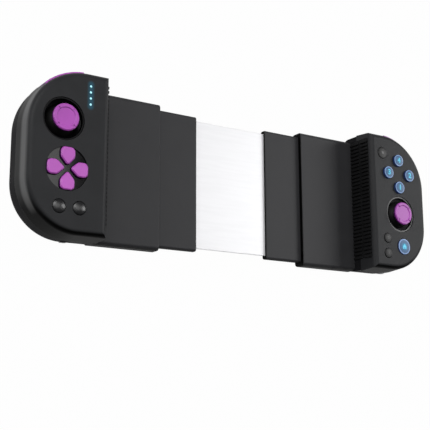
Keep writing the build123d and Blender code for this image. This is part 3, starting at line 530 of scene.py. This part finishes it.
HOUSE = [
    (-HOUSE_HALF, HOUSE_LOW),
    (-DOOR_HALF, HOUSE_LOW),
    (-DOOR_HALF, DOOR_TOP),
    (DOOR_HALF, DOOR_TOP),
    (DOOR_HALF, HOUSE_LOW),
    (HOUSE_HALF, HOUSE_LOW),
    (HOUSE_HALF, EAVES),
    (0.0, ROOF_TOP),
    (-HOUSE_HALF, EAVES),
]
add_mesh(
    "home_mark",
    flat_shape([HOUSE], face_centre("home_button"), MARK_THICKNESS),
    "home_button",
    mark_finish,
)
small_marks = {
    "right_upper_button": [bar(0.0, y, SMALL_MARK, SMALL_LINE) for y in (LINE_SPREAD, -LINE_SPREAD)],
    "right_lower_button": [bar(0.0, 0.0, SMALL_LINE, SMALL_MARK)],
    "capture_button": [bar(0.0, 0.0, SMALL_MARK, SMALL_MARK)],
}
for key, outlines in small_marks.items():
    shape = flat_shape(outlines, face_centre(key), MARK_THICKNESS)
    add_mesh(key + "_mark", shape, key, print_finish)


def islands(node):
    """The middle of the underside of each separate solid in a node, from low y to high."""
    bm = bmesh.new()
    bm.from_mesh(frame["nodes"][node].data)
    bmesh.ops.remove_doubles(bm, verts=bm.verts, dist=WELD_DISTANCE)
    left = set(bm.verts)
    found = []
    while left:
        group = set()
        queue = [left.pop()]
        while queue:
            vert = queue.pop()
            group.add(vert)
            for link in vert.link_edges:
                other = link.other_vert(vert)
                if other in left:
                    left.discard(other)
                    queue.append(other)
        xs, ys, zs = zip(*(vert.co for vert in group))
        found.append(Vector(((min(xs) + max(xs)) / 2.0, (min(ys) + max(ys)) / 2.0, min(zs))))
    bm.free()
    return sorted(found, key=lambda spot: spot.y)


# Painted shade: a thin dark cross on each cover screw stands in for the shade in its cross recess
for hand in ("left", "right"):
    for index, spot in enumerate(islands(hand + "_cover_screws")):
        outlines = [bar(0.0, 0.0, CROSS_LENGTH, CROSS_WIDTH), bar(0.0, 0.0, CROSS_WIDTH, CROSS_LENGTH)]
        low_spot = spot - Vector((0.0, 0.0, CROSS_DEPTH * MM / 2.0))
        name = "{}_screw_cross_{}".format(hand, index + 1)
        add_mesh(name, flat_shape(outlines, low_spot, CROSS_DEPTH), hand + "_grip", recess_shade_finish)

# Stage, light and camera. The floor lies just under the part, in millimetres, and is clear from below

FLOOR_HALF = 6.0
FLOOR_GREY = 0.30
FLOOR_ROUGHNESS = 0.9
FLOOR_DROP = 0.1
FLOOR_WHITE_SHARE = 0.985
WORLD_STRENGTH = 0.12


def mixed(tree, amount, first, second):
    """The shader that goes from first to second as amount goes from 0 to 1."""
    return add(tree, "ShaderNodeMixShader", {0: amount, 1: first, 2: second}).outputs[0]


def shown_white(tree, plain, share):
    """plain, except that the camera and reflections mostly see white."""
    path = add(tree, "ShaderNodeLightPath").outputs
    seen = calculate(tree, "MAXIMUM", path["Is Camera Ray"], path["Is Glossy Ray"])
    seen = calculate(tree, "MAXIMUM", seen, path["Is Transmission Ray"])
    white = add(tree, "ShaderNodeEmission", {"Color": opaque(WHITE), "Strength": 1.0}).outputs[0]
    return mixed(tree, calculate(tree, "MULTIPLY", seen, share), plain, white)


bm = bmesh.new()
bmesh.ops.create_grid(bm, x_segments=1, y_segments=1, size=FLOOR_HALF)
floor_data = bpy.data.meshes.new("floor")
bm.to_mesh(floor_data)
bm.free()
floor = bpy.data.objects.new("floor", floor_data)
bpy.context.scene.collection.objects.link(floor)
floor_material = bpy.data.materials.new("floor_pale")
floor_material.use_nodes = True
floor_tree = floor_material.node_tree
floor_shader = floor_tree.nodes["Principled BSDF"]
floor_shader.inputs["Base Color"].default_value = opaque((FLOOR_GREY, FLOOR_GREY, FLOOR_GREY))
floor_shader.inputs["Roughness"].default_value = FLOOR_ROUGHNESS
floor_seen = shown_white(floor_tree, floor_shader.outputs[0], FLOOR_WHITE_SHARE)
from_below = add(floor_tree, "ShaderNodeNewGeometry").outputs["Backfacing"]
clear = add(floor_tree, "ShaderNodeBsdfTransparent").outputs[0]
one_sided = mixed(floor_tree, from_below, floor_seen, clear)
floor_tree.links.new(one_sided, floor_tree.nodes["Material Output"].inputs["Surface"])
dress(floor, floor_material)
floor.location.z = -FLOOR_DROP * MM

world = bpy.data.worlds.new("studio")
bpy.context.scene.world = world
world.use_nodes = True
world_tree = world.node_tree
plain_world = world_tree.nodes["Background"]
plain_world.inputs["Color"].default_value = opaque(WHITE)
plain_world.inputs["Strength"].default_value = WORLD_STRENGTH
white_world = add(world_tree, "ShaderNodeBackground", {"Color": opaque(WHITE), "Strength": 1.0}).outputs[0]
camera_share = add(world_tree, "ShaderNodeLightPath").outputs["Is Camera Ray"]
world_seen = mixed(world_tree, camera_share, plain_world.outputs[0], white_world)
world_tree.links.new(world_seen, world_tree.nodes["World Output"].inputs["Surface"])


def area_light(name, spot, aim, size, power):
    lamp = bpy.data.lights.new(name, "AREA")
    lamp.shape = "RECTANGLE"
    lamp.size, lamp.size_y = size
    lamp.energy = power
    item = bpy.data.objects.new(name, lamp)
    item.location = spot
    item.rotation_euler = (Vector(aim) - Vector(spot)).to_track_quat("-Z", "Y").to_euler()
    bpy.context.scene.collection.objects.link(item)


# Each lamp: its spot, what it aims at and its size, in metres, and its power in watts
LIGHTS = {
    "key_light": ((-0.55, 0.55, 0.8), (0.0, 0.0, 0.0), (0.5, 0.5), 5.2),
    "left_light": ((-0.9, 0.25, 0.32), (-0.12, 0.0, 0.0), (0.5, 0.3), 2.2),
    "right_light": ((1.0, 0.25, 0.75), (0.1, 0.0, 0.0), (0.5, 0.8), 7.2),
    "top_light": ((-0.12, 0.25, 1.1), (-0.12, 0.25, 0.0), (0.96, 0.7), 4.2),
}
for light_name, (spot, aim, size, power) in LIGHTS.items():
    area_light(light_name, spot, aim, size, power)

# The camera stands where the photograph was taken from, with its sensor and lens in millimetres
SENSOR_WIDTH = 36.0
LENS = 76.83
NEAREST = 0.01
CAMERA_SPOT = (-0.2721, -0.1201, 0.4099)
CAMERA_RIGHT = (0.8404, -0.0033, 0.5419)
CAMERA_UP = (-0.1102, 0.9781, 0.1767)
CAMERA_BACK = (-0.5306, -0.2082, 0.8216)
camera_data = bpy.data.cameras.new("camera")
camera_data.sensor_fit = "HORIZONTAL"
camera_data.sensor_width = SENSOR_WIDTH
camera_data.lens = LENS
camera_data.clip_start = NEAREST
camera = bpy.data.objects.new("camera", camera_data)
turn = Matrix((CAMERA_RIGHT, CAMERA_UP, CAMERA_BACK)).transposed().to_4x4()
camera.matrix_world = Matrix.Translation(CAMERA_SPOT) @ turn
bpy.context.scene.collection.objects.link(camera)
bpy.context.scene.camera = camera
bpy.context.scene.view_settings.view_transform = "Standard"
